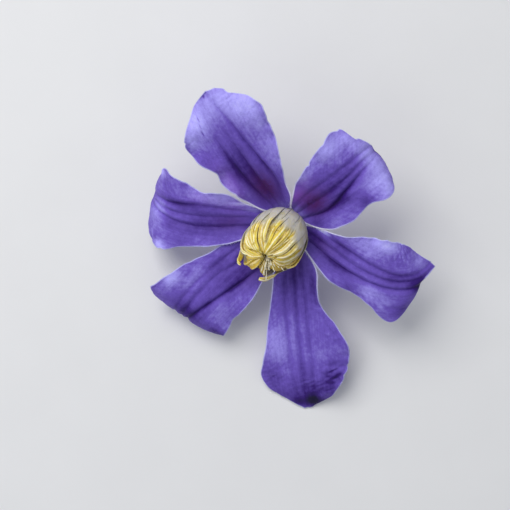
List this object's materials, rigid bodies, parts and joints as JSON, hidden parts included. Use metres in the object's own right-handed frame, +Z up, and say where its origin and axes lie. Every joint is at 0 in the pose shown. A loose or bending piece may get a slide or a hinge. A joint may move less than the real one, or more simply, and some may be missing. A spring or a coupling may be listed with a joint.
{
  "type": "clematis flower",
  "caption": "Single clematis flower as picked, lying face up: violet grooved tepals, some with tips rolled under, a barrel of yellow stamens and a short bent stalk.",
  "frame": {"origin": "on the surface that the flower lies on, under the middle of its box", "axes": "+Z up from the surface; the longest tepal points towards -Y and +Y is the side that the flower is raised to; +X is to the right when the flower is seen from above with -Y at the bottom"},
  "size_m": [0.0811, 0.0892, 0.041],
  "materials": {
    "tepals": "velvety violet petal, matt, with darker grooves and paler downy edges",
    "stamens": "matt yellow anthers with pale ridges, on greyish cream filaments",
    "styles": "silky white threads",
    "stalk": "finely hairy green stem flushed with purple, matt"
  },
  "bodies": {
    "root": {"tepal_top_left": "tepals", "tepal_top_right": "tepals", "tepal_right": "tepals", "tepal_bottom": "tepals", "tepal_bottom_left": "tepals", "tepal_left": "tepals", "stamens": "stamens", "styles": "styles", "stalk": "stalk"}
  },
  "joints": []
}
